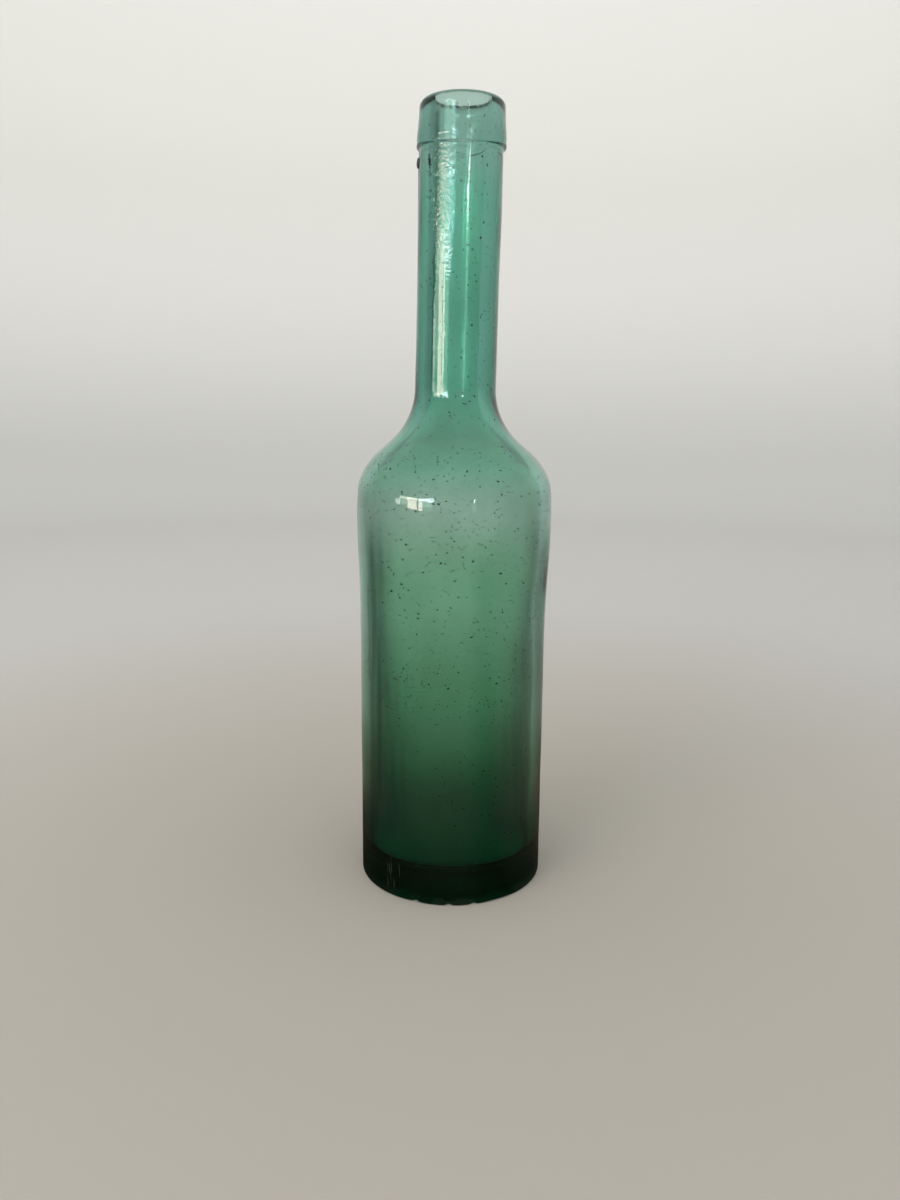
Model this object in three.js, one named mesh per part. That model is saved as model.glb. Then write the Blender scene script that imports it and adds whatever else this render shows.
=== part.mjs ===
// Mouth-blown green glass bottle: a thick-based body with a long neck, and a lip collar round the neck end.
// Millimetres, +Z up. The origin is the centre of the standing ring, on the surface the bottle stands on.
import * as THREE from 'three';

// Heights of the four stretches, from the standing surface up: 250 mm in all
const BODY_HEIGHT = 129;
const SHOULDER_HEIGHT = 36;
const NECK_LENGTH = 71.4;
const COLLAR_HEIGHT = 13.6;

// Outside radii. The body swells a little below its shoulder, and the collar's bead stands proud of the neck
const BODY_RADIUS = 31;
const SHOULDER_SWELL = 0.8;
const SWELL_LENGTH = 38;
const NECK_RADIUS = 13;
const BEAD_STAND_OUT = 0.9;
const COLLAR_TAPER = 0.6;

// Round stretches of the outside
const HEEL_ROUND = 0.8;
const SHOULDER_ARC = 20.5;
const NECK_ROOT_ARC = 22.5;
const BEAD_ROUND = 1.2;
const RIM_ROUND = 1.4;

// Glass thickness
const BODY_WALL = 3;
const NECK_WALL = 4.2;
const FLOOR_THICKNESS = 12;
const FLOOR_CROWN = 1.5;
const FLOOR_FILLET = 6;

// Underside: a flat standing ring round a shallow push-up
const STANDING_RING_WIDTH = 8;
const PUSH_UP_HEIGHT = 3.5;

// Mouth, and the neck end that the collar is laid round
const MOUTH_RADIUS = 8.2;
const MOUTH_ROUND = 0.9;
const COLLAR_WALL = 2.2;
const COLLAR_TOP_THICKNESS = 4;
const COLLAR_FIT = 0.3;

// The neck leans a little to +X, as the real one does
const NECK_LEAN_DEGREES = 1;

// Facets
const SEGMENTS = 48;
const FINE_STEPS = 8;
const MEDIUM_STEPS = 6;
const SMALL_STEPS = 3;

const GLASS_COLOUR = 0x4f9a80;
const COLLAR_COLOUR = 0x63a78f;
const GLASS_ROUGHNESS = 0.08;

// Heights and radii that follow from the sizes above
const neckRootZ = BODY_HEIGHT + SHOULDER_HEIGHT;
const collarBottomZ = neckRootZ + NECK_LENGTH;
const rimZ = collarBottomZ + COLLAR_HEIGHT;
const neckEndZ = rimZ - COLLAR_TOP_THICKNESS;
const shoulderRadius = BODY_RADIUS + SHOULDER_SWELL;
const neckBoreRadius = NECK_RADIUS - NECK_WALL;
const beadRadius = NECK_RADIUS + BEAD_STAND_OUT;
const rimRadius = beadRadius - COLLAR_TAPER;
const collarBoreRadius = beadRadius - COLLAR_WALL;
const neckEndRadius = collarBoreRadius - COLLAR_FIT;
const cavityRadius = BODY_RADIUS - BODY_WALL;
const ringInnerRadius = BODY_RADIUS - HEEL_ROUND - STANDING_RING_WIDTH;

// Points of an arc in the profile plane: x is the radius, y the height, angles in radians from +x
function arc(centreR, centreZ, radius, from, to, steps) {
  const points = [];
  for (let i = 0; i <= steps; i++) {
    const angle = from + ((to - from) * i) / steps;
    points.push(new THREE.Vector2(centreR + radius * Math.cos(angle), centreZ + radius * Math.sin(angle)));
  }
  return points;
}

// A low dome from the axis out to a radius, level at both ends
function dome(edgeZ, height, radius, steps) {
  const points = [];
  for (let i = 0; i <= steps; i++) {
    const share = i / steps;
    const rise = height * (0.5 + 0.5 * Math.cos(Math.PI * share));
    points.push(new THREE.Vector2(radius * share, edgeZ + rise));
  }
  return points;
}

// The body's side is straight and then swells smoothly up to the shoulder
function bodySide() {
  const points = [];
  for (let i = 0; i <= MEDIUM_STEPS; i++) {
    const share = i / MEDIUM_STEPS;
    const swell = SHOULDER_SWELL * share * share * (3 - 2 * share);
    const z = BODY_HEIGHT - SWELL_LENGTH * (1 - share);
    points.push(new THREE.Vector2(BODY_RADIUS + swell, z));
  }
  return points;
}

// The shoulder's round arc and the neck root's hollow arc, joined by the line that touches both.
// Together the arcs can be no larger than two that touch each other, which is what rootArc keeps to
function shoulderCurve() {
  const drop = shoulderRadius - NECK_RADIUS;
  const roomForBoth = (drop * drop + SHOULDER_HEIGHT * SHOULDER_HEIGHT) / (2 * drop);
  const rootArc = Math.min(NECK_ROOT_ARC, roomForBoth - SHOULDER_ARC);
  const shoulderCentre = new THREE.Vector2(shoulderRadius - SHOULDER_ARC, BODY_HEIGHT);
  const rootCentre = new THREE.Vector2(NECK_RADIUS + rootArc, neckRootZ);
  const between = rootCentre.clone().sub(shoulderCentre);
  const reach = Math.min((SHOULDER_ARC + rootArc) / between.length(), 1);
  const slope = between.angle() - Math.acos(reach);
  return [
    ...arc(shoulderCentre.x, shoulderCentre.y, SHOULDER_ARC, 0, slope, FINE_STEPS),
    ...arc(rootCentre.x, rootCentre.y, rootArc, slope + Math.PI, Math.PI, FINE_STEPS),
  ];
}

// The outside from the swell's start to the neck root, which the inside follows
const side = [...bodySide().slice(0, -1), ...shoulderCurve()];

// The inside of the same stretch. The wall thickens from the body's to the neck's over the shoulder
function insideOfSide() {
  return side.map((point, i) => {
    const before = side[Math.max(i - 1, 0)];
    const after = side[Math.min(i + 1, side.length - 1)];
    const along = after.clone().sub(before).normalize();
    const share = THREE.MathUtils.smoothstep(point.y, BODY_HEIGHT, neckRootZ);
    const wall = THREE.MathUtils.lerp(BODY_WALL, NECK_WALL, share);
    return new THREE.Vector2(point.x - wall * along.y, point.y + wall * along.x);
  });
}

// How far the bottle's axis has moved to +X at a height: nothing in the body, a bend, then a straight lean
function axisShift(z) {
  const lean = Math.tan(THREE.MathUtils.degToRad(NECK_LEAN_DEGREES));
  const up = Math.max(z - BODY_HEIGHT, 0);
  const bend = SHOULDER_HEIGHT;
  return up < bend ? (lean * up * up) / (2 * bend) : lean * (up - bend / 2);
}

// Turns a profile round the axis, stands it up along +Z and gives it the neck's lean
function turned(profile) {
  const geometry = new THREE.LatheGeometry(profile, SEGMENTS);
  geometry.rotateX(Math.PI / 2);
  const position = geometry.attributes.position;
  for (let i = 0; i < position.count; i++) {
    position.setX(i, position.getX(i) + axisShift(position.getZ(i)));
  }
  geometry.computeVertexNormals();
  return geometry;
}

function glassMesh(name, geometry, colour) {
  const glass = { color: colour, roughness: GLASS_ROUGHNESS, metalness: 0 };
  const mesh = new THREE.Mesh(geometry, new THREE.MeshStandardMaterial(glass));
  mesh.name = name;
  return mesh;
}

// Body, shoulder and neck are one blown piece with a closed thick floor and a bore open at the neck end
function bottleBody() {
  const quarter = Math.PI / 2;
  const heel = arc(BODY_RADIUS - HEEL_ROUND, HEEL_ROUND, HEEL_ROUND, -quarter, 0, SMALL_STEPS);
  const filletRadius = cavityRadius - FLOOR_FILLET;
  const filletZ = FLOOR_THICKNESS + FLOOR_FILLET;
  const fillet = arc(filletRadius, filletZ, FLOOR_FILLET, 0, -quarter, MEDIUM_STEPS);
  const floor = dome(FLOOR_THICKNESS, FLOOR_CROWN, filletRadius, MEDIUM_STEPS);
  return turned([
    ...dome(0, PUSH_UP_HEIGHT, ringInnerRadius, MEDIUM_STEPS),
    ...heel,
    ...side,
    new THREE.Vector2(NECK_RADIUS, collarBottomZ),
    new THREE.Vector2(neckEndRadius, collarBottomZ),
    new THREE.Vector2(neckEndRadius, neckEndZ),
    new THREE.Vector2(neckBoreRadius, neckEndZ),
    ...insideOfSide().reverse(),
    ...fillet,
    ...floor.reverse().slice(1),
  ]);
}

// The collar is a second gather of glass, laid round the neck end and tooled: a bead below, a round rim above
function lipCollar() {
  const quarter = Math.PI / 2;
  const beadCentreR = beadRadius - BEAD_ROUND;
  const bead = arc(beadCentreR, collarBottomZ + BEAD_ROUND, BEAD_ROUND, -quarter, 0, SMALL_STEPS);
  const rim = arc(rimRadius - RIM_ROUND, rimZ - RIM_ROUND, RIM_ROUND, 0, quarter, SMALL_STEPS);
  const mouthCentreR = MOUTH_RADIUS + MOUTH_ROUND;
  const mouth = arc(mouthCentreR, rimZ - MOUTH_ROUND, MOUTH_ROUND, quarter, Math.PI, SMALL_STEPS);
  const start = new THREE.Vector2(collarBoreRadius, collarBottomZ);
  return turned([
    start,
    ...bead,
    ...rim,
    ...mouth,
    new THREE.Vector2(MOUTH_RADIUS, neckEndZ + COLLAR_FIT),
    new THREE.Vector2(collarBoreRadius, neckEndZ + COLLAR_FIT),
    start.clone(),
  ]);
}

const bottle = new THREE.Group();
bottle.name = 'glass_bottle';
bottle.add(glassMesh('bottle_body', bottleBody(), GLASS_COLOUR));
bottle.add(glassMesh('lip_collar', lipCollar(), COLLAR_COLOUR));

export default bottle;
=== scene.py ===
import math

import bmesh
import bpy
import numpy as np
from mathutils import Matrix, Vector


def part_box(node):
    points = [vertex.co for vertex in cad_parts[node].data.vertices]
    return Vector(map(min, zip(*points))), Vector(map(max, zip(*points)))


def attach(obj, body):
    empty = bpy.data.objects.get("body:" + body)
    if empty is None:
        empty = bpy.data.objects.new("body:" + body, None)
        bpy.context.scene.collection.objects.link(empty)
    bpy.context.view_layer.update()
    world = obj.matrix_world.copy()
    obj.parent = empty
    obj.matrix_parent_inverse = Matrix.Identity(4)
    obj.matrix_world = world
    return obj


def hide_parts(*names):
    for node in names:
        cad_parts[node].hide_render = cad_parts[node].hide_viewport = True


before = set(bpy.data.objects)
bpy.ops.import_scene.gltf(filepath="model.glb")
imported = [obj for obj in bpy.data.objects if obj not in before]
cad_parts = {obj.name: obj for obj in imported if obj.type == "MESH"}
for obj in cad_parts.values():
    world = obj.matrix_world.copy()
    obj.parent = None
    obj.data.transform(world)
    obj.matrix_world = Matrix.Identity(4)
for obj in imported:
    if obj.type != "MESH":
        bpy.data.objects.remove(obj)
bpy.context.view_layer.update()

# Everything is in metres, +Z up. The camera stands on the -Y side.

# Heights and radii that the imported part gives
BODY_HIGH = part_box("bottle_body")[1]
COLLAR_LOW, COLLAR_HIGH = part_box("lip_collar")
COLLAR_Z = COLLAR_LOW.z
RIM_Z = COLLAR_HIGH.z
SHOULDER_RADIUS = BODY_HIGH.y
BEAD_RADIUS = COLLAR_HIGH.y

# Outside of the blown vessel
BODY_HEIGHT = 0.129
BODY_RADIUS = 0.031
SWELL_LENGTH = 0.038
SHOULDER_HEIGHT = 0.036
SHOULDER_ARC = 0.0205
SHOULDER_EASE = 0.0045
EASE_ANGLE = math.radians(14)
NECK_ROOT_ARC = 0.0225
NECK_RADIUS = 0.013
HEEL_ROUND = 0.0008
STANDING_RING_WIDTH = 0.008
PUSH_UP_HEIGHT = 0.0035

# Inside
BODY_WALL = 0.0031
NECK_WALL = 0.0053
FLOOR_THICKNESS = 0.0078
FLOOR_CROWN = 0.001
FLOOR_FILLET = 0.0052
FLOOR_RISE = 0.0018
MOUTH_RADIUS = 0.0082
MOUTH_ROUND = 0.0004
# The bore keeps the mouth's radius down to this depth, then narrows to the neck's over this length
MOUTH_DEPTH = 0.002
MOUTH_BLEND = 0.032

# Outside of the lip collar: its bead and taper, the rim's round up to where the top slopes in to the mouth,
# and the lines that the tool left, each with its height, depth and width
BEAD_LENGTH = 0.00035
COLLAR_TAPER = 0.0006
TAPER_START = 0.001
RIM_ROUND = 0.002
RIM_TURN = math.radians(60)
TOOL_LINES = ((0.2391, 0.00005, 0.0002), (0.2381, 0.00011, 0.0003), (0.2424, 0.00002, 0.0003))

# The neck leans a little to +X
NECK_LEAN = math.radians(1)

# How the glass departs from a true turned shape. Waves have a height, and for waves(): how many, the most
# turns round the bottle, and the shortest and longest length. None of this reaches the axis
AXIS_CALM = (0.002, 0.008)
OUTER_WAVE = 0.00004
OUTER_WAVES = (16, 4, 0.018, 0.08)
INNER_WAVE = 0.00009
INNER_WAVES = (24, 3, 0.022, 0.12)
STRIA = 0.000012
STRIA_WAVES = (24, 40, 0.06, 0.3)
STRIA_START = (0.14, 0.18)
CAVITY_SHIFT = 0.0004
BORE_SHIFT = -0.0003
BORE_SHIFT_FADE = (0.02, 0.004)
FLOOR_RISE_FADE = (0.012, 0.03)

# The shoulder sags at the front and bulges to +X: how far, and for between() the stretch and its blends
SHOULDER_SAG = 0.0047
SAG_STRETCH = (0.119, 0.122, 0.024, 0.03)
SHOULDER_BULGE = 0.0005
BULGE_STRETCH = (0.12, 0.132, 0.04, 0.016)

# The lip: its bead sags at the front, and the mouth's edge is ragged behind, just below the rim. The gather
# ran out below the bead in an uneven line
BEAD_SAG = 0.0011
BEAD_SAG_BLEND = 0.004
MOUTH_RAGGEDNESS = 0.0008
RAGGED_WAVES = (26, 20, 1, 2)
RAGGED_BELOW_RIM = (0.0012, 0.0002)
RAGGED_BEHIND = (0.1, 0.5)
SEAM_DROP = 0.0016
SEAM_UNEVENNESS = 0.0007
SEAM_WAVES = (9, 9, 1, 2)
SEAM_DEPTH = 0.00012
SEAM_WIDTH = 0.0003
SEAM_TURN = math.radians(18)

# The foot: its edge lifts a little, and has notches at these turns in degrees
HEEL_UNEVENNESS = 0.0002
HEEL_WAVES = (14, 11, 1, 2)
HEEL_LIFT_FADE = (0.0006, 0.005)
NOTCH_ANGLES = (-112, -91, -75.5)
NOTCH_DEPTH = 0.0012
NOTCH_HALF_WIDTH = 0.0009
NOTCH_HEIGHT = 0.0025

# Painted shade on the inside: a dark tint in upright bands at the sides of the front. For each band: how
# dark, where it starts and ends in degrees from the bottle's side, and how far it fades. Low down it ends
# and fades further in, by the second numbers
SHADE_BAND_RISE = 2
LEFT_PAINTED_SHADE = (0.92, 24, (33, 4), (26, 14))
RIGHT_PAINTED_SHADE = (0.84, 24, (29, 8), (18, 18))
SHADE_LOW_DOWN = (0.05, 0.105)
SHADE_BOTTOM = (0.012, 0.03)
SHADE_TOP = (0.112, 0.136)
# The neck has a band of painted shade on the left alone, which gets wider by so many degrees on the way up
NECK_PAINTED_SHADE = 0.85
NECK_SHADE_TURNS = (36, 38)
NECK_SHADE_BLENDS = (3, 7)
NECK_SHADE_WIDENING = 6
NECK_SHADE_WIDENS = (0.19, 0.215)
NECK_SHADE_STRETCH = (0.172, 0.244, 0.02, 0.003)
# The bands of painted shade sway a little up the bottle and carry upright streaks
SHADE_SWAY = math.radians(1.3)
SWAY_WAVES = (8, 0, 0.012, 0.05)
SHADE_STREAKS = 0.12
STREAK_WAVES = (40, 60, 0.03, 0.2)

# Wear on the standing ring is full, and on the rim's top this much. Both reach this far up or down
RIM_WEAR = 0.6
RIM_WEAR_REACH = 0.00025
FOOT_WEAR_REACH = 0.001

# Mesh: points round the bottle, the spacing of rows, and how far the closer rows reach past their stretch
SEGMENTS = 216
FINE_ROW = 0.0003
MEDIUM_ROW = 0.0007
PLAIN_ROW = 0.0013
FINE_REACH = 0.004
MEDIUM_REACH = 0.01
# Points along a stretch of the outline, before the rows are spaced
SIDE_POINTS = 40
SHOULDER_STEPS = 60
ROOT_STEPS = 40
BEAD_POINTS = 24
COLLAR_POINTS = 80
BORE_POINTS = 20
SAME_POINT = 1e-9
# Makes the sum of many waves about 1 high
WAVE_LEVEL = 1.4

neck_root_z = BODY_HEIGHT + SHOULDER_HEIGHT
neck_bore = NECK_RADIUS - NECK_WALL
cavity_radius = BODY_RADIUS - BODY_WALL
ring_inner = BODY_RADIUS - HEEL_ROUND - STANDING_RING_WIDTH
rng = np.random.default_rng(7)


def smooth(x, low, high):
    """0 below low, 1 above high, and a smooth rise between."""
    t = np.clip((x - low) / (high - low), 0, 1)
    return t * t * (3 - 2 * t)


def arc(centre_r, centre_z, radius, start, end, steps=24):
    """Points of an arc in the profile plane, angles in radians from the outward direction."""
    angle = np.linspace(start, end, steps + 1)
    return np.column_stack((centre_r + radius * np.cos(angle), centre_z + radius * np.sin(angle)))


def dome(edge_z, height, radius, steps=40):
    """A low dome from the axis out to a radius, level at both ends."""
    r = np.linspace(0, radius, steps + 1)
    return np.column_stack((r, edge_z + height * (0.5 + 0.5 * np.cos(math.pi * r / radius))))


def body_side():
    """The straight side and its smooth swell below the shoulder."""
    z = np.linspace(BODY_HEIGHT - SWELL_LENGTH, BODY_HEIGHT - SHOULDER_EASE, SIDE_POINTS)
    swell = (SHOULDER_RADIUS - BODY_RADIUS) * smooth(z, z[0], z[-1])
    return np.column_stack((BODY_RADIUS + swell, z))


def shoulder():
    """The shoulder's round arc, which starts gently, and the neck root's hollow arc."""
    centre = np.array((SHOULDER_RADIUS - SHOULDER_ARC, BODY_HEIGHT))
    root = np.array((NECK_RADIUS + NECK_ROOT_ARC, neck_root_z))
    across = root - centre
    slope = math.atan2(across[1], across[0]) - math.acos(
        min(1, (SHOULDER_ARC + NECK_ROOT_ARC) / np.hypot(*across)))
    start = arc(*centre, SHOULDER_ARC, 0, slope, SHOULDER_STEPS)
    turned = np.linspace(0, slope, SHOULDER_STEPS + 1)
    start[:, 1] -= SHOULDER_EASE * (1 - smooth(turned, 0, EASE_ANGLE))
    return np.vstack((start, arc(*root, NECK_ROOT_ARC, slope + math.pi, math.pi, ROOT_STEPS)))


def collar_outside():
    """From the neck, round the bead, up the taper, round the rim and in to the mouth's edge."""
    bead_z = np.linspace(COLLAR_Z, COLLAR_Z + BEAD_LENGTH, BEAD_POINTS)
    bead_out = NECK_RADIUS + (BEAD_RADIUS - NECK_RADIUS) * smooth(bead_z, bead_z[0], bead_z[-1])
    wall_z = np.linspace(COLLAR_Z + BEAD_LENGTH, RIM_Z - RIM_ROUND, COLLAR_POINTS)
    wall_r = BEAD_RADIUS - COLLAR_TAPER * smooth(wall_z, wall_z[0] + TAPER_START, wall_z[-1])
    for line_z, depth, width in TOOL_LINES:
        wall_r = wall_r - depth * np.exp(-((wall_z - line_z) / width) ** 2)
        bead_out = bead_out - depth * np.exp(-((bead_z - line_z) / width) ** 2)
    rim = arc(BEAD_RADIUS - COLLAR_TAPER - RIM_ROUND, RIM_Z - RIM_ROUND, RIM_ROUND, 0, RIM_TURN)
    top = ((MOUTH_RADIUS + MOUTH_ROUND + FINE_ROW, RIM_Z),)
    return np.vstack((
        np.column_stack((bead_out, bead_z)), np.column_stack((wall_r, wall_z))[1:], rim[1:], top))


def inside_of(points):
    """The inside of a stretch of outside. The wall thickens over the shoulder to the neck's."""
    along = np.gradient(points, axis=0)
    along /= np.linalg.norm(along, axis=1)[:, None]
    wall = BODY_WALL + (NECK_WALL - BODY_WALL) * smooth(points[:, 1], BODY_HEIGHT, neck_root_z)
    return points + wall[:, None] * np.column_stack((-along[:, 1], along[:, 0]))


def row_spacing(z, r):
    """Rows are close at the lip and the heel, wide on the plain side."""
    if z > COLLAR_Z - FINE_REACH or (z < FINE_REACH and r > ring_inner):
        return FINE_ROW
    return MEDIUM_ROW if BODY_HEIGHT - MEDIUM_REACH < z < neck_root_z + MEDIUM_REACH else PLAIN_ROW


def spaced(points):
    """The same line with rows at the spacing that each stretch wants. Its ends stay."""
    step = np.hypot(*np.diff(points, axis=0).T)
    keep = np.concatenate(([True], step > SAME_POINT))
    points = points[keep]
    length = np.concatenate(([0], np.cumsum(np.hypot(*np.diff(points, axis=0).T))))
    stops = [0.0]
    while stops[-1] < length[-1]:
        z = np.interp(stops[-1], length, points[:, 1])
        r = np.interp(stops[-1], length, points[:, 0])
        stops.append(stops[-1] + row_spacing(z, r))
    stops = np.array(stops[:-1] + [length[-1]])
    return np.column_stack([np.interp(stops, length, points[:, i]) for i in (0, 1)])


def waves(angle, z, count, rounds, short, long):
    """A smooth uneven field round the bottle, about 1 high, from waves of chosen lengths.

    A wave with one turn would only move the whole ring sideways, so it stays level instead.
    """
    field = np.zeros(np.broadcast(angle, z).shape)
    for _ in range(count):
        turns = rng.integers(0, rounds + 1)
        turns = 0 if turns == 1 else turns
        length = rng.uniform(short, long)
        phase = rng.uniform(0, 2 * math.pi, 2)
        field += np.cos(turns * angle + phase[0]) * np.cos(2 * math.pi * z / length + phase[1])
    return field / math.sqrt(count) * WAVE_LEVEL


def bore_place(angle, z):
    """How far the inside is moved outward. It sits off the axis to -X, less in the neck than in the body."""
    in_neck = smooth(z, BODY_HEIGHT, neck_root_z)
    in_lip = smooth(z, COLLAR_Z - BORE_SHIFT_FADE[0], RIM_Z - BORE_SHIFT_FADE[1])
    return np.cos(angle) * (BORE_SHIFT * in_neck * (1 - in_lip) - CAVITY_SHIFT * (1 - in_neck))


def seam_groove(angle, z):
    """The uneven line below the bead, where the collar's gather ran out over the neck."""
    path = COLLAR_Z - SEAM_DROP + SEAM_UNEVENNESS * waves(angle - SEAM_TURN, 0 * z[:1], *SEAM_WAVES)
    return SEAM_DEPTH * np.exp(-((z - path) / SEAM_WIDTH) ** 2)


def heel_notches(angle, z):
    """Small dents across the foot's lower edge."""
    dents = 0
    for place in np.radians(NOTCH_ANGLES):
        across = BODY_RADIUS * np.abs((angle - place + math.pi) % (2 * math.pi) - math.pi)
        dents = dents + np.exp(-((across / NOTCH_HALF_WIDTH) ** 2))
    return NOTCH_DEPTH * dents * (1 - smooth(z, NOTCH_HEIGHT * 0.5, NOTCH_HEIGHT))


def front(angle):
    """1 at the camera's side of the bottle, 0 at the sides and behind."""
    return np.maximum(-np.sin(angle), 0) ** 2


def lifted(angle):
    """From 0 to about 1 round the foot, so its edge rises a little off the surface here and there."""
    return np.maximum(waves(angle, np.zeros((1, 1)), *HEEL_WAVES), 0)


def axis_shift(z):
    """How far the axis has moved to +X: none in the body, a bend over the shoulder, then a straight lean."""
    up = np.maximum(z - BODY_HEIGHT, 0)
    bend = SHOULDER_HEIGHT
    return math.tan(NECK_LEAN) * np.where(up < bend, up * up / (2 * bend), up - bend / 2)


def between(x, low, high, before, after):
    """1 from low to high, with a smooth rise before and a smooth fall after."""
    return smooth(x, low - before, low) * (1 - smooth(x, high, high + after))


def painted_shade_band(turned, low_down, strength, start, end, fade):
    """An upright band of painted shade that ends and fades further in low down."""
    last = end[0] + end[1] * low_down
    return strength * between(turned, start, last, SHADE_BAND_RISE, fade[0] + fade[1] * low_down)


def painted_shade(angle, z):
    """How much painted shade darkens the inside: upright bands at the sides of the front."""
    sway = SHADE_SWAY * waves(np.zeros((1, 1)), z, *SWAY_WAVES)
    from_left = np.degrees(angle - math.pi + sway)
    from_right = np.degrees(2 * math.pi - angle - sway)
    low_down = 1 - smooth(z, *SHADE_LOW_DOWN)
    bands = painted_shade_band(from_left, low_down, *LEFT_PAINTED_SHADE) + painted_shade_band(from_right, low_down, *RIGHT_PAINTED_SHADE)
    in_body = smooth(z, *SHADE_BOTTOM) * (1 - smooth(z, *SHADE_TOP))
    start, end = NECK_SHADE_TURNS
    neck_end = end + NECK_SHADE_WIDENING * smooth(z, *NECK_SHADE_WIDENS)
    neck_band = between(from_left, start, neck_end, *NECK_SHADE_BLENDS)
    in_neck = between(z, *NECK_SHADE_STRETCH)
    streaks = 1 + SHADE_STREAKS * waves(angle, z, *STREAK_WAVES)
    return (bands * in_body + NECK_PAINTED_SHADE * neck_band * in_neck) * streaks


def new_object(name, verts, faces, material):
    mesh = bpy.data.meshes.new(name)
    mesh.from_pydata([tuple(v) for v in verts], [], faces)
    mesh.validate()
    mesh.polygons.foreach_set("use_smooth", [True] * len(mesh.polygons))
    mesh.materials.append(material)
    piece = bpy.data.objects.new(name, mesh)
    bpy.context.scene.collection.objects.link(piece)
    return piece


def add_mark(piece, name, values):
    """A number for every vertex, which the material reads."""
    mark = piece.data.attributes.new(name, "FLOAT", "POINT")
    mark.data.foreach_set("value", np.asarray(values, dtype=np.float32))


def glass_profile():
    """The glass's outline, from the underside's middle round to the floor's, and 1 for each inside point."""
    quarter = math.pi / 2
    side = np.vstack((body_side(), shoulder()[1:]))
    outside = spaced(np.vstack((
        dome(0, PUSH_UP_HEIGHT, ring_inner),
        arc(BODY_RADIUS - HEEL_ROUND, HEEL_ROUND, HEEL_ROUND, -quarter, 0),
        side,
        collar_outside())))
    bore_z = np.linspace(RIM_Z - MOUTH_DEPTH, RIM_Z - MOUTH_DEPTH - MOUTH_BLEND, BORE_POINTS)
    bore_r = MOUTH_RADIUS + (neck_bore - MOUTH_RADIUS) * smooth(-bore_z, -bore_z[0], -bore_z[-1])
    inside = spaced(np.vstack((
        arc(MOUTH_RADIUS + MOUTH_ROUND, RIM_Z - MOUTH_ROUND, MOUTH_ROUND, quarter, math.pi),
        np.column_stack((bore_r, bore_z)),
        inside_of(side)[::-1],
        arc(cavity_radius - FLOOR_FILLET, FLOOR_THICKNESS + FLOOR_FILLET, FLOOR_FILLET, 0, -quarter),
        dome(FLOOR_THICKNESS, FLOOR_CROWN, cavity_radius - FLOOR_FILLET)[::-1])))
    is_inside = np.concatenate((np.zeros(len(outside)), np.ones(len(inside))))
    return np.vstack((outside, inside)), is_inside


def uneven(rows, within, angle):
    """Radius and height of every point, with the waves, sags, dents and ragged edges of hand-made glass."""
    r, z = rows[:, :1], rows[:, 1:]
    full = smooth(r, *AXIS_CALM)
    outer = full * (1 - within)
    inner = full * within
    r = r + outer * OUTER_WAVE * waves(angle, z, *OUTER_WAVES)
    r = r - outer * seam_groove(angle, z)
    r = r - outer * heel_notches(angle, z) * smooth(r, ring_inner, BODY_RADIUS - HEEL_ROUND)
    r = r + inner * INNER_WAVE * waves(angle, z, *INNER_WAVES)
    r = r + inner * STRIA * smooth(z, *STRIA_START) * waves(angle, z, *STRIA_WAVES)
    r = r + inner * bore_place(angle, z)
    z = z + inner * FLOOR_RISE * front(angle) * (1 - smooth(z, *FLOOR_RISE_FADE))
    ragged = within * smooth(z, RIM_Z - RAGGED_BELOW_RIM[0], RIM_Z - RAGGED_BELOW_RIM[1])
    chipped = MOUTH_RAGGEDNESS * np.abs(waves(angle, 0 * z[:1], *RAGGED_WAVES))
    z = z - ragged * chipped * smooth(np.sin(angle), *RAGGED_BEHIND)
    z = z + outer * HEEL_UNEVENNESS * (1 - smooth(z, *HEEL_LIFT_FADE)) * lifted(angle)
    r = r + SHOULDER_BULGE * np.maximum(np.cos(angle), 0) ** 2 * between(z, *BULGE_STRETCH)
    z = z - SHOULDER_SAG * front(angle) * between(z, *SAG_STRETCH)
    bead = between(z, COLLAR_Z, COLLAR_Z + BEAD_LENGTH, BEAD_SAG_BLEND, BEAD_SAG_BLEND)
    return r, z - outer * BEAD_SAG * front(angle) * bead


def closed_skin(ring_count):
    """Faces of rings in a row, with a point before the first ring and one after the last."""
    after = [(i + 1) % SEGMENTS for i in range(SEGMENTS)]
    faces = []
    for row in range(ring_count - 1):
        base = 1 + row * SEGMENTS
        up = base + SEGMENTS
        faces += [(base + i, base + j, up + j, up + i) for i, j in enumerate(after)]
    top = 1 + (ring_count - 1) * SEGMENTS
    for i, j in enumerate(after):
        faces.append((0, 1 + j, 1 + i))
        faces.append((top + SEGMENTS, top + i, top + j))
    return faces


def glass_mesh(material):
    """One closed skin of glass: underside, side, shoulder, neck, lip, bore, cavity and floor."""
    profile, is_inside = glass_profile()
    rows = profile[1:-1]
    within = is_inside[1:-1, None]
    angle = np.arange(SEGMENTS) * 2 * math.pi / SEGMENTS
    r, z = uneven(rows, within, angle)
    ring = np.stack((r * np.cos(angle) + axis_shift(z), r * np.sin(angle), z), axis=2)
    verts = [(0, 0, profile[0, 1]), *ring.reshape(-1, 3), (0, 0, profile[-1, 1])]
    piece = new_object("bottle_glass", verts, closed_skin(len(rows)), material)
    add_mark(piece, "inside", np.concatenate(([0], np.repeat(is_inside[1:-1], SEGMENTS), [1])))
    # How much painted shade darkens each point of the inside
    on_ring = (within * painted_shade(angle, z)).reshape(-1)
    add_mark(piece, "painted_shade", np.concatenate(([0], on_ring, [0])))
    on_foot = (rows[:, 0] < BODY_RADIUS - 0.5 * HEEL_ROUND) & (rows[:, 1] < PUSH_UP_HEIGHT + FOOT_WEAR_REACH)
    worn = on_foot + RIM_WEAR * (rows[:, 1] > RIM_Z - RIM_WEAR_REACH)
    add_mark(piece, "worn", np.concatenate(([1], np.repeat(worn, SEGMENTS), [0])))
    return piece


# Helpers for materials

def node(tree, kind, **settings):
    made = tree.nodes.new(kind)
    for name, value in settings.items():
        setattr(made, name, value)
    return made


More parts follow.
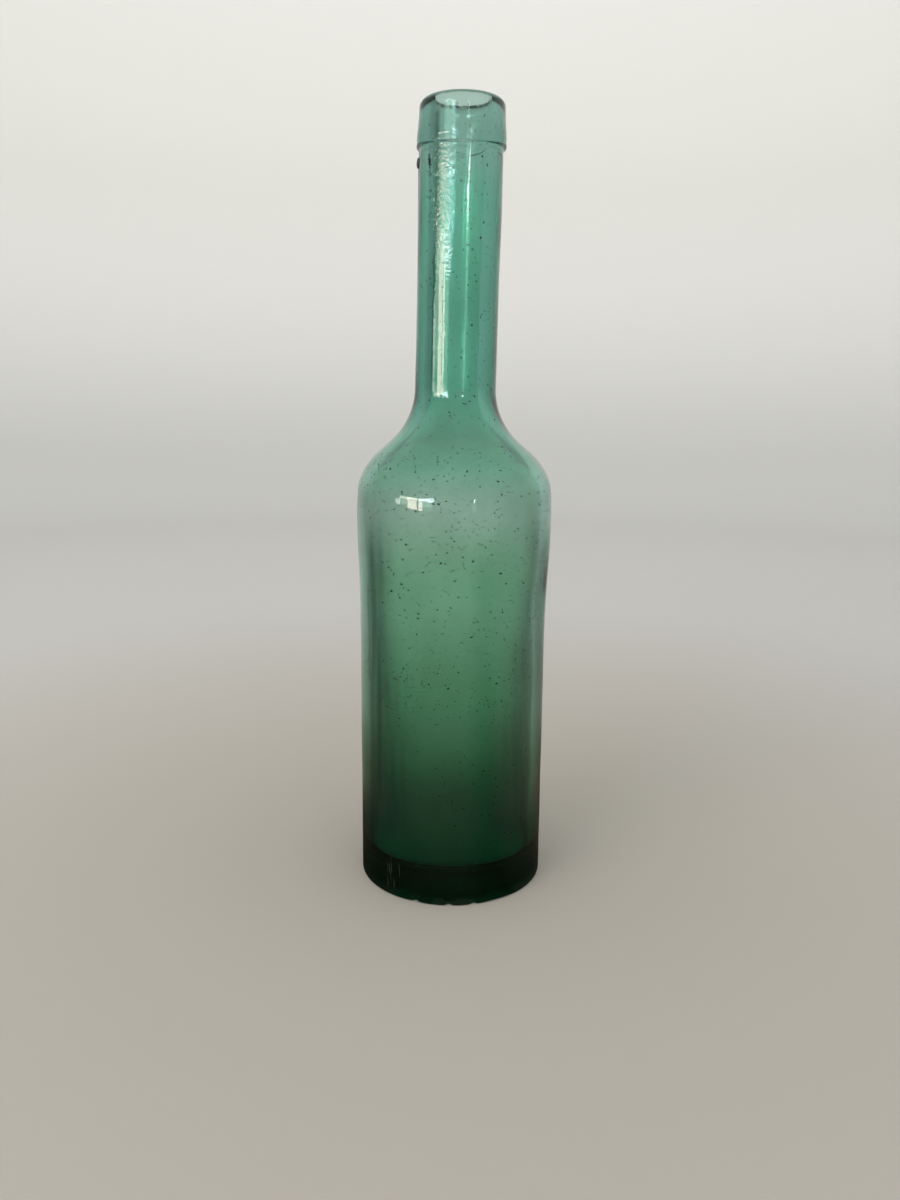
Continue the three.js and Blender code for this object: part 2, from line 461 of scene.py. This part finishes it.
def new_material(name):
    """A material, its nodes, its shader, and the place on the object, by which patterns are laid."""
    material = bpy.data.materials.new(name)
    material.use_nodes = True
    tree = material.node_tree
    place = node(tree, "ShaderNodeTexCoord").outputs["Object"]
    return material, tree, tree.nodes["Principled BSDF"], place


def read_mark(tree, name):
    """The number that add_mark gave to the points."""
    return node(tree, "ShaderNodeAttribute", attribute_name=name).outputs["Fac"]


def coordinates(tree, place):
    """The X, Y and Z of a place."""
    axes = node(tree, "ShaderNodeSeparateXYZ")
    tree.links.new(place, axes.inputs[0])
    return axes.outputs


def ramp(tree, stops):
    """A colour ramp through the stops given as (place, colour)."""
    made = node(tree, "ShaderNodeValToRGB")
    elements = made.color_ramp.elements
    elements.remove(elements[1])
    for index, (place, colour) in enumerate(stops):
        element = elements[0] if index == 0 else elements.new(place)
        element.position = place
        element.color = (*colour, 1)
    return made


def map_range(tree, source, low, high, to_low, to_high):
    made = node(tree, "ShaderNodeMapRange")
    for name, value in (("From Min", low), ("From Max", high), ("To Min", to_low), ("To Max", to_high)):
        made.inputs[name].default_value = value
    tree.links.new(source, made.inputs["Value"])
    return made.outputs["Result"]


def math_node(tree, operation, a, b):
    made = node(tree, "ShaderNodeMath", operation=operation)
    for socket, value in zip(made.inputs, (a, b)):
        if isinstance(value, (int, float)):
            socket.default_value = value
        else:
            tree.links.new(value, socket)
    return made.outputs[0]


def multiply_colour(tree, colour, factor_colour):
    made = node(tree, "ShaderNodeMix", data_type="RGBA", blend_type="MULTIPLY")
    made.inputs["Factor"].default_value = 1
    tree.links.new(colour, made.inputs["A"])
    tree.links.new(factor_colour, made.inputs["B"])
    return made.outputs["Result"]


def noise(tree, place, size, detail, stretch=(1, 1, 1)):
    """A noise pattern with a size in metres, which can be stretched along an axis."""
    mapping = node(tree, "ShaderNodeMapping")
    mapping.inputs["Scale"].default_value = tuple(1 / s for s in stretch)
    tree.links.new(place, mapping.inputs["Vector"])
    made = node(tree, "ShaderNodeTexNoise")
    made.inputs["Scale"].default_value = 1 / size
    made.inputs["Detail"].default_value = detail
    tree.links.new(mapping.outputs[0], made.inputs["Vector"])
    return made.outputs["Fac"]


def speckle(tree, shader, place, pattern, tones):
    """Colours a shader by a noise pattern, between tones given with their places on the ramp."""
    shade = ramp(tree, tones)
    tree.links.new(noise(tree, place, *pattern), shade.inputs["Fac"])
    tree.links.new(shade.outputs["Color"], shader.inputs["Base Color"])


# The glass. Patterns are given by size, detail and stretch for noise(), ranges by four numbers for
# map_range()

# Colour: what the volume absorbs, and at the skin the tint by the share of the height, which is partly
# painted shade, soft clouds and the painted shade of the side bands
GLASS_IOR = 1.52
ABSORBED_PER_METRE = (114, 56, 68)
ABSORPTION_DENSITY = 200
# The tint gets darker towards the foot, with a dark band a few millimetres up: partly the glass's own green,
# partly painted shade
TINT_AND_SHADE_BY_HEIGHT = (
    (0.0, (0.13, 0.52, 0.40)), (0.009, (0.18, 0.58, 0.44)), (0.016, (0.06, 0.24, 0.14)),
    (0.06, (0.11, 0.54, 0.33)), (0.12, (0.31, 0.73, 0.53)), (0.2, (0.42, 0.80, 0.59)),
    (0.3, (0.56, 0.82, 0.65)), (0.36, (0.70, 0.93, 0.78)), (0.42, (0.71, 0.93, 0.77)),
    (0.5, (0.97, 1.0, 0.95)), (0.565, (0.76, 0.94, 0.84)), (0.66, (0.62, 0.95, 0.85)),
    (0.76, (0.56, 0.88, 0.79)), (0.88, (0.69, 1.0, 0.91)), (0.95, (0.94, 0.96, 0.95)),
    (1.0, (0.97, 0.98, 0.97)))
CLOUDS = (0.014, 4, (1, 1, 2.2))
CLOUD_TONES = ((0.34, (0.83, 0.89, 0.85)), (0.66, (1, 1, 1)))
PAINTED_SHADE_TONES = ((0.0, (1, 1, 1)), (1.0, (0, 0.06, 0.04)))

# Roughness: haze on the inside, which clears where the skin is seen at a slant, smudges and wear outside
HAZE_BY_HEIGHT = (
    (0.0, 0.6), (0.08, 0.55), (0.2, 0.32), (0.3, 0.26), (0.5, 0.26), (0.66, 0.12), (0.92, 0.07),
    (0.96, 0.03), (1.0, 0.03))
BLOTCHES = (0.01, 2)
BLOTCH_RANGE = (0.2, 0.8, 0.88, 1.08)
SLANT_RANGE = (0.19, 0.25, 1, 0.15)
SMUDGES = (0.012, 3)
SMUDGE_RANGE = (0.4, 0.8, 0.015, 0.04)
WORN_ROUGHNESS = 0.6

# Bump outside: a fine hammered look left of the middle, strongest in the upper neck and weak on the collar,
# and a slow swell, strongest in the neck
HAMMER_DEPTH = 0.00014
HAMMER = (0.00085, 0, (1, 1, 0.75))
HAMMER_FROM_MIDDLE = (-0.0035, 0.0005, 0.06, 1)
HAMMER_TO_LEFT = (0.0072, 0.009, 1, 0.12)
HAMMER_BY_HEIGHT = (0.2, 0.216, 0.16, 1)
HAMMER_ON_COLLAR = 0.3
COLLAR_BLEND = 0.003
SLOW_DEPTH = 0.00002
SLOW = (0.008, 0, (1, 1, 1.6))
SLOW_START = (0.12, 0.18)
SLOW_IN_BODY = 0.3


def glass_colour(tree, place, height):
    tint = ramp(tree, TINT_AND_SHADE_BY_HEIGHT)
    tree.links.new(height, tint.inputs["Fac"])
    clouds = ramp(tree, CLOUD_TONES)
    tree.links.new(noise(tree, place, *CLOUDS), clouds.inputs["Fac"])
    colour = multiply_colour(tree, tint.outputs["Color"], clouds.outputs["Color"])
    # The upright bands of painted shade darken the colour
    shade = ramp(tree, PAINTED_SHADE_TONES)
    tree.links.new(read_mark(tree, "painted_shade"), shade.inputs["Fac"])
    return multiply_colour(tree, colour, shade.outputs["Color"])


def glass_roughness(tree, place, height, inside, outside):
    haze = ramp(tree, tuple((at, (value,) * 3) for at, value in HAZE_BY_HEIGHT))
    tree.links.new(height, haze.inputs["Fac"])
    blotches = map_range(tree, noise(tree, place, *BLOTCHES), *BLOTCH_RANGE)
    hazy = math_node(tree, "MULTIPLY", haze.outputs["Color"], blotches)
    facing = node(tree, "ShaderNodeLayerWeight")
    facing.inputs["Blend"].default_value = 0.5
    slant = map_range(tree, facing.outputs["Facing"], *SLANT_RANGE)
    inner_part = math_node(tree, "MULTIPLY", math_node(tree, "MULTIPLY", hazy, slant), inside)
    smudges = map_range(tree, noise(tree, place, *SMUDGES), *SMUDGE_RANGE)
    worn = math_node(tree, "MULTIPLY", read_mark(tree, "worn"), WORN_ROUGHNESS)
    outer_part = math_node(tree, "MULTIPLY", math_node(tree, "MAXIMUM", smudges, worn), outside)
    return math_node(tree, "ADD", inner_part, outer_part)


def glass_bump(tree, place, outside):
    axes = coordinates(tree, place)
    leftward = math_node(tree, "MULTIPLY", axes["X"], -1)
    on_left = math_node(tree, "MINIMUM", map_range(tree, leftward, *HAMMER_FROM_MIDDLE),
                        map_range(tree, leftward, *HAMMER_TO_LEFT))
    hammered = map_range(tree, axes["Z"], *HAMMER_BY_HEIGHT)
    hammer = math_node(tree, "MULTIPLY", hammered, on_left)
    on_collar = map_range(tree, axes["Z"], COLLAR_Z, COLLAR_Z + COLLAR_BLEND, 1, HAMMER_ON_COLLAR)
    hammer = math_node(tree, "MULTIPLY", hammer, on_collar)
    peel = math_node(tree, "MULTIPLY", noise(tree, place, *HAMMER), hammer)
    swell = map_range(tree, axes["Z"], *SLOW_START, SLOW_IN_BODY * SLOW_DEPTH / HAMMER_DEPTH,
                      SLOW_DEPTH / HAMMER_DEPTH)
    slow = math_node(tree, "MULTIPLY", noise(tree, place, *SLOW), swell)
    bump = node(tree, "ShaderNodeBump")
    bump.inputs["Strength"].default_value = 1
    bump.inputs["Distance"].default_value = HAMMER_DEPTH
    tree.links.new(math_node(tree, "MULTIPLY", math_node(tree, "ADD", peel, slow), outside),
                   bump.inputs["Height"])
    return bump.outputs["Normal"]


def glass_material():
    material, tree, shader, place = new_material("green_glass")
    shader.inputs["IOR"].default_value = GLASS_IOR
    shader.inputs["Transmission Weight"].default_value = 1
    inside = read_mark(tree, "inside")
    outside = math_node(tree, "SUBTRACT", 1, inside)
    height = map_range(tree, coordinates(tree, place)["Z"], 0, RIM_Z, 0, 1)
    tree.links.new(glass_colour(tree, place, height), shader.inputs["Base Color"])
    tree.links.new(glass_roughness(tree, place, height, inside, outside), shader.inputs["Roughness"])
    tree.links.new(glass_bump(tree, place, outside), shader.inputs["Normal"])
    absorb = node(tree, "ShaderNodeVolumeAbsorption")
    left_over = [1 - value / ABSORPTION_DENSITY for value in ABSORBED_PER_METRE]
    absorb.inputs["Color"].default_value = (*left_over, 1)
    absorb.inputs["Density"].default_value = ABSORPTION_DENSITY
    tree.links.new(absorb.outputs[0], tree.nodes["Material Output"].inputs["Volume"])
    return material


glass = glass_mesh(glass_material())
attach(glass, "root")
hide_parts("bottle_body", "lip_collar")


# Small things in and on the glass

SEED_COUNT = 4200
SEED_LOW = 0.018
SEED_HIGH = 0.246
# A share of them gathers in the shoulder and the upper body
SEED_CROWD = 0.5
CROWD_LOW = 0.06
CROWD_HIGH = 0.148
SEED_RADIUS = 0.000145
SEED_SPREAD = 0.33
SEED_STRETCH = 1.9
SEED_DEPTHS = (0.0005, 0.0016)
SEED_TILT = 0.5
NECK_SEED_SIZE = 0.85
# Height, turn round the axis, half width and half height of a few larger ones
LARGE_SEEDS = (
    (0.1088, -62, 0.00055, 0.0003), (0.1055, -58, 0.00045, 0.00025), (0.1129, -79, 0.0004, 0.00024),
    (0.0893, -79, 0.00065, 0.0002), (0.1396, -82, 0.0003, 0.00036), (0.2297, -51, 0.0002, 0.00055))
LARGE_SEED_DEPTH = 0.001
LARGE_SEED_TILT = 0.2
SEED_PATTERN = (0.003, 2)
SEED_TONES = ((0.3, (0.004, 0.012, 0.008)), (0.7, (0.02, 0.05, 0.035)))
SEED_ROUGHNESS = 0.35


def ball(fineness):
    """Points and faces of a ball of radius 1, with 20 faces at fineness 1 and 80 at 2."""
    mesh = bpy.data.meshes.new("ball")
    shape = bmesh.new()
    bmesh.ops.create_icosphere(shape, subdivisions=fineness, radius=1)
    shape.to_mesh(mesh)
    shape.free()
    points = np.array([v.co[:] for v in mesh.vertices])
    faces = [tuple(p.vertices) for p in mesh.polygons]
    bpy.data.meshes.remove(mesh)
    return points, faces


side_line = np.vstack((((BODY_RADIUS, 0.001),), body_side(), shoulder()[1:], ((NECK_RADIUS, COLLAR_Z),)))


def outside_radius(z):
    """The outside radius at a height, from the same profile as the glass."""
    return np.interp(z, side_line[:, 1], side_line[:, 0])


def seed_material():
    material, tree, shader, place = new_material("dark_seeds")
    speckle(tree, shader, place, SEED_PATTERN, SEED_TONES)
    shader.inputs["Roughness"].default_value = SEED_ROUGHNESS
    return material


def make_seeds():
    """Dark seeds in the wall, wider than high in the body and drawn out lengthwise in the neck."""
    plain, fine = ball(1), ball(2)
    crowded = rng.uniform(0, 1, SEED_COUNT) < SEED_CROWD
    z = np.where(crowded, rng.uniform(CROWD_LOW, CROWD_HIGH, SEED_COUNT),
                 rng.uniform(SEED_LOW, SEED_HIGH, SEED_COUNT))
    turn = rng.uniform(0, 2 * math.pi, SEED_COUNT)
    size = SEED_RADIUS * np.exp(rng.normal(0, SEED_SPREAD, SEED_COUNT))
    depth = rng.uniform(*SEED_DEPTHS, SEED_COUNT)
    verts, faces = [], []

    def add(form, height, angle, below, wide, high, tilt):
        points, ball_faces = form
        out = np.array((math.cos(angle), math.sin(angle), 0))
        along = np.array((-out[1], out[0], 0))
        up = np.array((0, 0, 1))
        across = along * math.cos(tilt) + up * math.sin(tilt)
        upright = up * math.cos(tilt) - along * math.sin(tilt)
        shape = points[:, :1] * across * wide + points[:, 1:2] * upright * high
        shape = shape + points[:, 2:] * out * min(wide, high)
        centre = out * (outside_radius(height) - below) + (float(axis_shift(height)), 0, height)
        faces.extend(tuple(len(verts) + k for k in face) for face in ball_faces)
        verts.extend(shape + centre)

    for i in range(SEED_COUNT):
        longer = rng.uniform(1, SEED_STRETCH)
        tilt = rng.normal(0, SEED_TILT)
        if z[i] > neck_root_z:
            slim = size[i] * NECK_SEED_SIZE
            add(plain, z[i], turn[i], depth[i], slim, slim * longer, 0)
        else:
            add(plain, z[i], turn[i], depth[i], size[i] * longer, size[i], tilt)
    for height, degrees, wide, high in LARGE_SEEDS:
        tilt = rng.normal(0, LARGE_SEED_TILT)
        add(fine, height, math.radians(degrees), LARGE_SEED_DEPTH, wide, high, tilt)
    return new_object("seeds", verts, faces, seed_material())


seeds = make_seeds()
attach(seeds, "root")


# A dark lump of residue on the left of the neck under the lip, with a run below it
LUMP_Z = 0.2324
LUMP_HEIGHT = 0.0034
LUMP_WIDTH = 0.0024
LUMP_STAND_OUT = 0.0008
LUMPINESS = 0.12

# The run: height, half width and half thickness from the top down. Its width and its course are a little
# uneven
RUN_TURN = math.radians(179.5)
RUN = (
    (0.2358, 0.0003, 0.0001), (0.2300, 0.0003, 0.0002), (0.2240, 0.00028, 0.00016),
    (0.2120, 0.0002, 0.00008))
RUN_ROWS = 120
RUN_SIDES = 8
RUN_UNEVENNESS = 0.25
RUN_WIDTH_WAVES = (6, 0, 0.002, 0.01)
RUN_SWAY = 0.012
RUN_SWAY_WAVES = (5, 0, 0.01, 0.04)
RESIDUE_PATTERN = (0.0008, 3)
RESIDUE_TONES = ((0.35, (0.014, 0.03, 0.025)), (0.7, (0.05, 0.075, 0.065)))
RESIDUE_GLOSS = (0.0005, 2)
RESIDUE_GLOSS_RANGE = (0.3, 0.7, 0.35, 0.7)


def residue_material():
    material, tree, shader, place = new_material("dark_residue")
    speckle(tree, shader, place, RESIDUE_PATTERN, RESIDUE_TONES)
    gloss = map_range(tree, noise(tree, place, *RESIDUE_GLOSS), *RESIDUE_GLOSS_RANGE)
    tree.links.new(gloss, shader.inputs["Roughness"])
    return material


def make_residue():
    """A lumpy oval drop that sinks into the wall, and a thin run from it down the neck."""
    points, ball_faces = ball(2)
    lumpy = 1 + LUMPINESS * np.sin(5 * points[:, :1] + 3 * points[:, 2:] + 1) * np.cos(4 * points[:, 1:2])
    shape = points * lumpy * (LUMP_STAND_OUT, LUMP_WIDTH / 2, LUMP_HEIGHT / 2)
    shape[:, :1] -= NECK_RADIUS - float(axis_shift(LUMP_Z))
    shape[:, 2] += LUMP_Z
    verts, faces = list(shape), list(ball_faces)
    heights = np.linspace(RUN[0][0], RUN[-1][0], RUN_ROWS)
    sizes = np.array(RUN[::-1])
    widening = 1 + RUN_UNEVENNESS * waves(0, heights, *RUN_WIDTH_WAVES)
    half_width = np.interp(heights, sizes[:, 0], sizes[:, 1]) * widening
    half_thick = np.interp(heights, sizes[:, 0], sizes[:, 2])
    turn = RUN_TURN + RUN_SWAY * waves(0, heights, *RUN_SWAY_WAVES)
    around = np.arange(RUN_SIDES) * 2 * math.pi / RUN_SIDES
    start = len(verts)
    for height, wide, thick, middle in zip(heights, half_width, half_thick, turn):
        for a in around:
            r = float(outside_radius(height)) + thick * math.cos(a)
            heading = middle + wide * math.sin(a) / r
            verts.append((
                float(axis_shift(height)) + r * math.cos(heading), r * math.sin(heading), height))
    for row in range(RUN_ROWS - 1):
        base = start + row * RUN_SIDES
        for i in range(RUN_SIDES):
            a, b = base + i, base + (i + 1) % RUN_SIDES
            faces.append((a, b, b + RUN_SIDES, a + RUN_SIDES))
    faces.append(tuple(start + i for i in reversed(range(RUN_SIDES))))
    faces.append(tuple(len(verts) - RUN_SIDES + i for i in range(RUN_SIDES)))
    return new_object("residue", verts, faces, residue_material())


residue = make_residue()
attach(residue, "root")


# Dark scuffs at the foot: thin slivers that stand a little off the glass. Each has a length and a half width
# between two shares of the full one
SCUFF_COUNT = 9
SCUFF_TURN = -128
SCUFF_SPREAD = 3.5
SCUFF_LOW = 0.0035
SCUFF_HIGH = 0.0135
SCUFF_END = 0.0016
SCUFF_LENGTH = 0.005
LENGTH_SHARES = (0.3, 1.2)
SCUFF_WIDTH = 0.00011
WIDTH_SHARES = (0.4, 1.2)
SCUFF_TIP = 0.00002
SCUFF_LIFT = 0.00004
SCUFF_LEAN = 0.06
SCUFF_ROWS = 9
SCUFF_PATTERN = (0.0012, 3)
SCUFF_TONES = ((0.3, (0.006, 0.011, 0.008)), (0.7, (0.02, 0.03, 0.024)))
SCUFF_ROUGHNESS = 0.6


def scuff_material():
    material, tree, shader, place = new_material("scuffed_glass")
    speckle(tree, shader, place, SCUFF_PATTERN, SCUFF_TONES)
    shader.inputs["Roughness"].default_value = SCUFF_ROUGHNESS
    return material


def make_scuffs():
    verts, faces = [], []
    for _ in range(SCUFF_COUNT):
        turn = math.radians(rng.normal(SCUFF_TURN, SCUFF_SPREAD))
        middle = rng.uniform(SCUFF_LOW, SCUFF_HIGH)
        half = 0.5 * SCUFF_LENGTH * rng.uniform(*LENGTH_SHARES)
        wide = SCUFF_WIDTH * rng.uniform(*WIDTH_SHARES)
        lean = rng.normal(0, SCUFF_LEAN)
        start = len(verts)
        for share in np.linspace(-1, 1, SCUFF_ROWS):
            height = max(middle + half * share, SCUFF_END)
            across = wide * (1 - share * share) + SCUFF_TIP
            for place, lift in ((-across, -0.5), (0, 1), (across, -0.5)):
                a = turn + (place + lean * half * share) / BODY_RADIUS
                r = BODY_RADIUS + SCUFF_LIFT * lift
                verts.append((r * math.cos(a), r * math.sin(a), height))
        for row in range(SCUFF_ROWS - 1):
            for i in (0, 1):
                a = start + 3 * row + i
                faces.append((a, a + 1, a + 4, a + 3))
    return new_object("scuffs", verts, faces, scuff_material())


scuffs = make_scuffs()
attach(scuffs, "root")


# Stage

STAGE_RADIUS = 1.7
STAGE_BEND = 0.6
STAGE_HEIGHT = 1.1
STAGE_SIDES = 96
FLOOR_RINGS = 12
BEND_STEPS = 24
PAPER_ROUGHNESS = 0.9
PAPER_SPECULAR = 0.2
# Colours by the distance in metres from the bottle. The camera sees pale paper with painted shade, darker
# close to the foot, and painted light, paler high up the wall. Rays through or off the glass see a second
# set, which the
# paper gives off as a glow, painted light: dark brown close to the foot like the board that the photographed
# bottle stands on, and darkest right at the foot, painted shadow
PAPER_REACH = 2.0
BOARD_LEVEL = 0.93
PAPER_WITH_PAINTED_SHADE_AND_LIGHT = (
    (0.05, (0.43, 0.395, 0.34)), (0.5, (0.53, 0.51, 0.475)), (1.4, (0.50, 0.49, 0.465)),
    (1.9, (0.75, 0.735, 0.69)))
BOARD_AND_PAINTED_SHADOW = (
    (0.03, (0.025, 0.025, 0.017)), (0.055, (0.085, 0.072, 0.05)), (0.11, (0.25, 0.21, 0.16)),
    (0.22, (0.52, 0.48, 0.43)), (0.5, (0.60, 0.59, 0.56)), (1.4, (0.60, 0.595, 0.575)),
    (1.9, (0.84, 0.835, 0.81)))
# They also see a darker background to the bottle's left, and a darker strip of floor to its right. For each
# turn away from the back, given by its sine, the share of the light that is left
LEFT_LIGHT = ((-0.85, 0.6), (-0.45, 1))
RIGHT_LIGHT = ((0.25, 1), (0.55, 0.5), (0.68, 0.5), (0.85, 0.95))
DARK_FLOOR_REACH = 0.8
DARK_FLOOR_END = 1.1


def paper_tone(tree, share, stops):
    """A colour by the distance from the bottle, given as a share of the paper's reach."""
    tone = ramp(tree, tuple((distance / PAPER_REACH, colour) for distance, colour in stops))
    tone.color_ramp.interpolation = "EASE"
    tree.links.new(share, tone.inputs["Fac"])
    return tone.outputs["Color"]


def board_level(tree, place, distance):
    """How bright the glass sees the background, by the turn round the bottle and the distance from it."""
    sideways = math_node(tree, "DIVIDE", coordinates(tree, place)["X"], distance)
    turned = map_range(tree, sideways, -1, 1, 0, 1)
    shares = []
    for stops in (LEFT_LIGHT, RIGHT_LIGHT):
        share_left = ramp(tree, tuple((0.5 + sine / 2, (level,) * 3) for sine, level in stops))
        tree.links.new(turned, share_left.inputs["Fac"])
        shares.append(share_left.outputs["Color"])
    near = map_range(tree, distance, DARK_FLOOR_REACH, DARK_FLOOR_END, 1, 0)
    dark = math_node(tree, "MULTIPLY", math_node(tree, "SUBTRACT", 1, shares[1]), near)
    level = math_node(tree, "MULTIPLY", shares[0], math_node(tree, "SUBTRACT", 1, dark))
    return math_node(tree, "MULTIPLY", level, BOARD_LEVEL)


def paper_material():
    """Matt paper, painted darker near the foot and paler up the wall, and for rays through or off the glass
    a glow in the second set of tones, painted light.
    """
    material, tree, shader, place = new_material("paper")
    shader.inputs["Roughness"].default_value = PAPER_ROUGHNESS
    shader.inputs["Specular IOR Level"].default_value = PAPER_SPECULAR
    away = node(tree, "ShaderNodeVectorMath", operation="LENGTH")
    tree.links.new(place, away.inputs[0])
    distance = away.outputs["Value"]
    share = map_range(tree, distance, 0, PAPER_REACH, 0, 1)
    tree.links.new(paper_tone(tree, share, PAPER_WITH_PAINTED_SHADE_AND_LIGHT), shader.inputs["Base Color"])
    # For rays through or off the glass the paper glows in the second set of tones instead of being lit:
    # painted light, with painted shadow at the foot
    glow = node(tree, "ShaderNodeEmission")
    tree.links.new(paper_tone(tree, share, BOARD_AND_PAINTED_SHADOW), glow.inputs["Color"])
    tree.links.new(board_level(tree, place, distance), glow.inputs["Strength"])
    path = node(tree, "ShaderNodeLightPath").outputs
    by_glass = math_node(tree, "MAXIMUM", path["Is Glossy Ray"], path["Is Transmission Ray"])
    by_glass = math_node(tree, "MULTIPLY", by_glass, math_node(tree, "SUBTRACT", 1, path["Is Diffuse Ray"]))
    seen = node(tree, "ShaderNodeMixShader")
    tree.links.new(by_glass, seen.inputs[0])
    tree.links.new(shader.outputs[0], seen.inputs[1])
    tree.links.new(glow.outputs[0], seen.inputs[2])
    tree.links.new(seen.outputs[0], tree.nodes["Material Output"].inputs["Surface"])
    material.cycles.emission_sampling = "NONE"
    return material


def make_stage():
    """A round floor that bends up into a low wall."""
    flat = np.linspace(0, STAGE_RADIUS - STAGE_BEND, FLOOR_RINGS)
    bend = arc(STAGE_RADIUS - STAGE_BEND, STAGE_BEND, STAGE_BEND, -math.pi / 2, 0, BEND_STEPS)
    line = np.vstack((np.column_stack((flat, 0 * flat)), bend[1:], ((STAGE_RADIUS, STAGE_HEIGHT),)))[1:]
    turn = np.arange(STAGE_SIDES) * 2 * math.pi / STAGE_SIDES
    verts = [(0, 0, 0)] + [(r * math.cos(a), r * math.sin(a), z) for r, z in line for a in turn]
    after = [(i + 1) % STAGE_SIDES for i in range(STAGE_SIDES)]
    faces = [(0, 1 + i, 1 + j) for i, j in enumerate(after)]
    for row in range(len(line) - 1):
        base = 1 + row * STAGE_SIDES
        up = base + STAGE_SIDES
        faces += [(base + i, up + i, up + j, base + j) for i, j in enumerate(after)]
    return new_object("stage", verts, faces, paper_material())


make_stage()


# Light

def area_light(name, place, target, width, height, radiance, colour):
    """A rectangular soft light of a given brightness, turned to face a point."""
    data = bpy.data.lights.new(name, "AREA")
    data.shape = "RECTANGLE"
    data.size = width
    data.size_y = height
    data.energy = radiance * width * height * math.pi
    data.color = colour
    lamp = bpy.data.objects.new(name, data)
    lamp.location = place
    lamp.rotation_mode = "QUATERNION"
    lamp.rotation_quaternion = (Vector(target) - Vector(place)).to_track_quat("-Z", "Y")
    lamp.visible_camera = False
    bpy.context.scene.collection.objects.link(lamp)


# A window with uneven panes to the left of the camera and a narrow gap of light to its right. Their
# reflections in the neck and the shoulder gave the turns and the heights. For each pane: turn to the right
# of the camera's side in degrees, turned width in degrees, low and high edge, radiance and colour
LIGHT_DISTANCE = 1.5
PANES = (
    ("window_main", -47.8, 11.4, 0.18, 0.482, 11.5, (1, 0.82, 0.72)),
    ("window_main_right", -37.9, 4.8, 0.18, 0.482, 11.5, (1, 0.82, 0.72)),
    ("window_main_high", -47.8, 11.4, 0.495, 0.60, 15, (1, 0.87, 0.78)),
    ("window_main_high_right", -37.9, 4.8, 0.495, 0.62, 16, (0.95, 0.94, 0.9)),
    ("window_right", -28.5, 14, 0.47, 0.64, 18, (0.76, 0.9, 1)),
    ("window_right_low", -30, 12, 0.24, 0.47, 1.8, (0.84, 1, 0.9)),
    ("window_left", -58, 12, 0.46, 0.60, 8, (1, 0.97, 0.8)),
    ("window_left_low", -59, 12, 0.24, 0.46, 2.5, (0.9, 1, 0.86)),
    ("window_far_left", -66.5, 6, 0.20, 0.40, 6, (1, 0.98, 0.92)),
    ("gap_high", 22.5, 2.2, 0.50, 0.65, 18, (0.95, 0.98, 1)),
    ("gap_low", 22.5, 4, 0.18, 0.50, 1.4, (0.95, 1, 1)))
for name, turn, turned_width, low, high, radiance, colour in PANES:
    heading = math.radians(turn)
    middle = (low + high) / 2
    place = (LIGHT_DISTANCE * math.sin(heading), -LIGHT_DISTANCE * math.cos(heading), middle)
    pane_width = LIGHT_DISTANCE * math.radians(turned_width)
    area_light(name, place, (0, 0, middle), pane_width, high - low, radiance, colour)

# The room's light comes mostly from in front, so the paper behind the bottle is the bright side. It falls
# from the first strength to the second over this much of the way from the front to the back
SKY_FRONT = 1.7
SKY_BACK = 0.5
SKY_FALL = (-0.7, 0.7)
SKY_COLOUR = (0.94, 0.97, 1)
# The most that the camera and the glass see of it, the least that the camera sees above the stage's wall,
# and its colour there, about the tone of that wall
SKY_SEEN = 0.75
SKY_LEAST = 0.8
SKY_SEEN_COLOUR = (0.985, 0.975, 0.955)


def room_light():
    world = bpy.data.worlds.new("room")
    world.use_nodes = True
    tree = world.node_tree
    direction = node(tree, "ShaderNodeTexCoord").outputs["Generated"]
    strength = map_range(tree, coordinates(tree, direction)["Y"], *SKY_FALL, SKY_FRONT, SKY_BACK)
    path = node(tree, "ShaderNodeLightPath").outputs
    seen = math_node(tree, "MAXIMUM", path["Is Glossy Ray"], path["Is Transmission Ray"])
    seen = math_node(tree, "MAXIMUM", seen, path["Is Camera Ray"])
    level = node(tree, "ShaderNodeMix", data_type="FLOAT")
    tree.links.new(seen, level.inputs["Factor"])
    tree.links.new(strength, level.inputs["A"])
    above_wall = math_node(tree, "MULTIPLY", path["Is Camera Ray"], SKY_LEAST)
    capped = math_node(tree, "MAXIMUM", math_node(tree, "MINIMUM", strength, SKY_SEEN), above_wall)
    tree.links.new(capped, level.inputs["B"])
    tree.links.new(level.outputs["Result"], tree.nodes["Background"].inputs["Strength"])
    tone = node(tree, "ShaderNodeMix", data_type="RGBA")
    tree.links.new(seen, tone.inputs["Factor"])
    tone.inputs["A"].default_value = (*SKY_COLOUR, 1)
    tone.inputs["B"].default_value = (*SKY_SEEN_COLOUR, 1)
    tree.links.new(tone.outputs["Result"], tree.nodes["Background"].inputs["Color"])
    return world


bpy.context.scene.world = room_light()

# Camera: fitted to the outline and the base of the photographed bottle, in a frame of 900 by 1200
PHOTO_HEIGHT = 1200
FOCAL_PIXELS = 933
CAMERA_PLACE = (-0.00091, -0.3086, 0.1554)
CAMERA_PITCH = math.radians(11.06)
CAMERA_ROLL = math.radians(0.456)
SENSOR_MILLIMETRES = 36
NEAREST_SEEN = 0.01

camera_data = bpy.data.cameras.new("camera")
camera_data.sensor_width = SENSOR_MILLIMETRES
camera_data.lens = SENSOR_MILLIMETRES * FOCAL_PIXELS / PHOTO_HEIGHT
camera_data.clip_start = NEAREST_SEEN
camera = bpy.data.objects.new("camera", camera_data)
forward = Vector((0, math.cos(CAMERA_PITCH), -math.sin(CAMERA_PITCH)))
upward = Vector((0, math.sin(CAMERA_PITCH), math.cos(CAMERA_PITCH)))
right = Vector((1, 0, 0)) * math.cos(CAMERA_ROLL) + upward * math.sin(CAMERA_ROLL)
up = right.cross(forward)
turned = Matrix((right, up, -forward)).transposed().to_4x4()
camera.matrix_world = Matrix.Translation(CAMERA_PLACE) @ turned
bpy.context.scene.collection.objects.link(camera)
bpy.context.scene.camera = camera
bpy.context.scene.view_settings.view_transform = "Standard"
